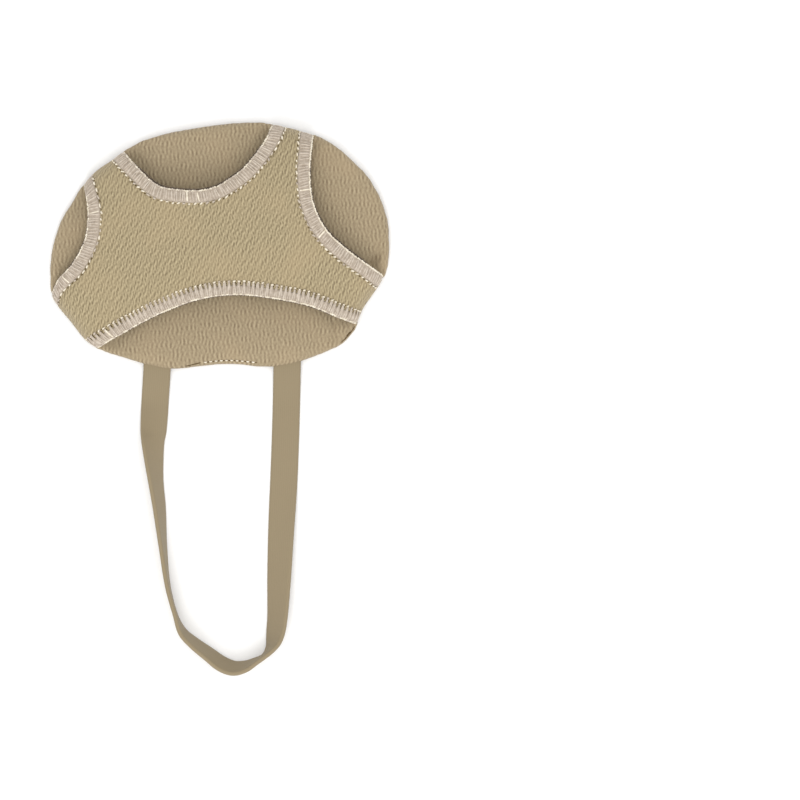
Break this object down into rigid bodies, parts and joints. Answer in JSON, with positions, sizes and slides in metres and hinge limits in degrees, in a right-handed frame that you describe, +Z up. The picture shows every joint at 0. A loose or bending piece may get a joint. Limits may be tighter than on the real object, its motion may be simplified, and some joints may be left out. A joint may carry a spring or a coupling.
{
  "type": "metatarsal pad",
  "caption": "Oval ball-of-foot cushion with an arched knit band, overlocked toe and instep openings and an elastic heel loop.",
  "frame": {"origin": "middle of the pad's flat underside, on the surface that it lies on", "axes": "+X towards the big toe, +Y towards the toes, +Z up through the pad"},
  "size_m": [0.1014, 0.1655, 0.0142],
  "materials": {
    "ribbed_knit": "matt ribbed knit",
    "stretch_knit": "matt stretch knit",
    "overlock_thread": "satin thread",
    "woven_elastic": "matt woven elastic"
  },
  "bodies": {
    "root": {"sole_pad": "ribbed_knit", "top_band": "stretch_knit", "middle_toes_edging": "overlock_thread", "big_toe_edging": "overlock_thread", "little_toe_edging": "overlock_thread", "instep_edging": "overlock_thread", "heel_strap": "woven_elastic"}
  },
  "joints": []
}
